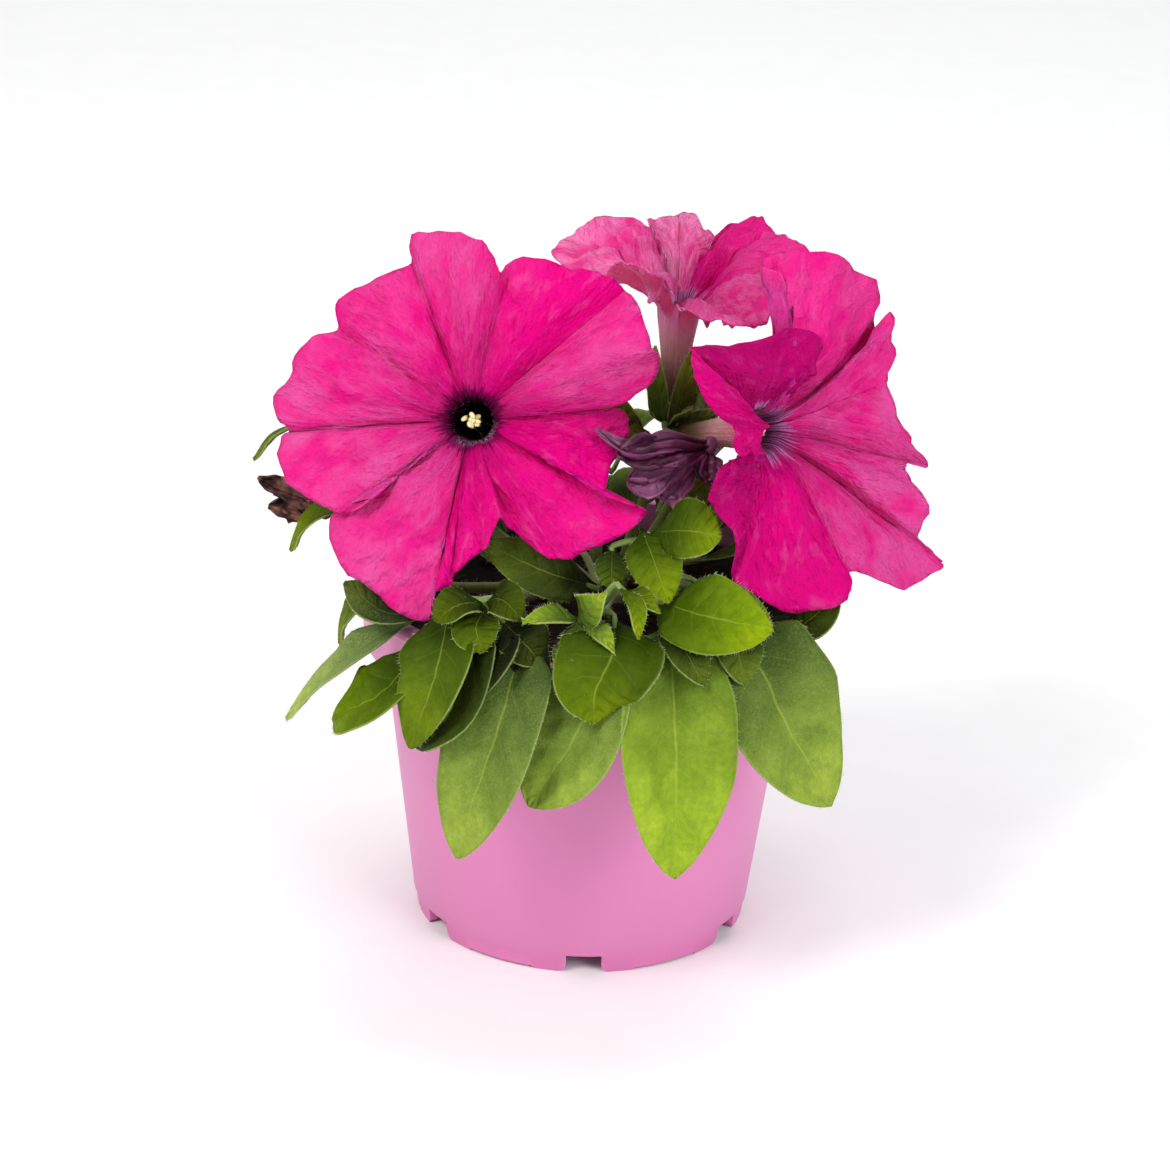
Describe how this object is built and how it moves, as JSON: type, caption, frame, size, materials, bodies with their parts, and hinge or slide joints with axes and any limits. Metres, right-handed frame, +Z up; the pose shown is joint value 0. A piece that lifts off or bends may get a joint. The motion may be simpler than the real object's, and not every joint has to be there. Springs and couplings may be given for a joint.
{
  "type": "potted grandiflora petunia",
  "caption": "Potted grandiflora petunia: a taper-walled plastic nursery pot filled with soil, hairy leafy shoots that hang over its lip, and large magenta funnel flowers.",
  "frame": {"origin": "on the pot's axis, at the level that its foot ring stands on; the plant's box is centred over it within about 1 mm", "axes": "+Z up the pot's axis, -Y towards the front of the plant, where the left flower faces, +X to the viewer's right"},
  "size_m": [0.1746, 0.1536, 0.1871],
  "materials": {
    "pot": "satin",
    "soil": "rough",
    "leaf": "matt, softly hairy",
    "petal": "velvety",
    "anther": "matt",
    "wilted_petal": "crumpled",
    "dried_petal": "dry and crumpled"
  },
  "bodies": {
    "root": {"shoot_front_left": "leaf", "shoot_front": "leaf", "shoot_right": "leaf", "shoot_left": "leaf", "shoot_back_1": "leaf", "shoot_back_2": "leaf", "shoot_back_3": "leaf", "shoot_back_4": "leaf", "shoot_back_5": "leaf", "shoot_back_6": "leaf", "flower_stem_left": "leaf", "flower_stem_right": "leaf", "corolla_left": "petal", "stamens_left": "anther", "corolla_right": "petal", "stamens_right": "anther", "corolla_top": "petal", "stamens_top": "anther", "wilted_flower": "wilted_petal", "dried_flower": "dried_petal", "pot": "pot", "soil": "soil"}
  },
  "joints": []
}
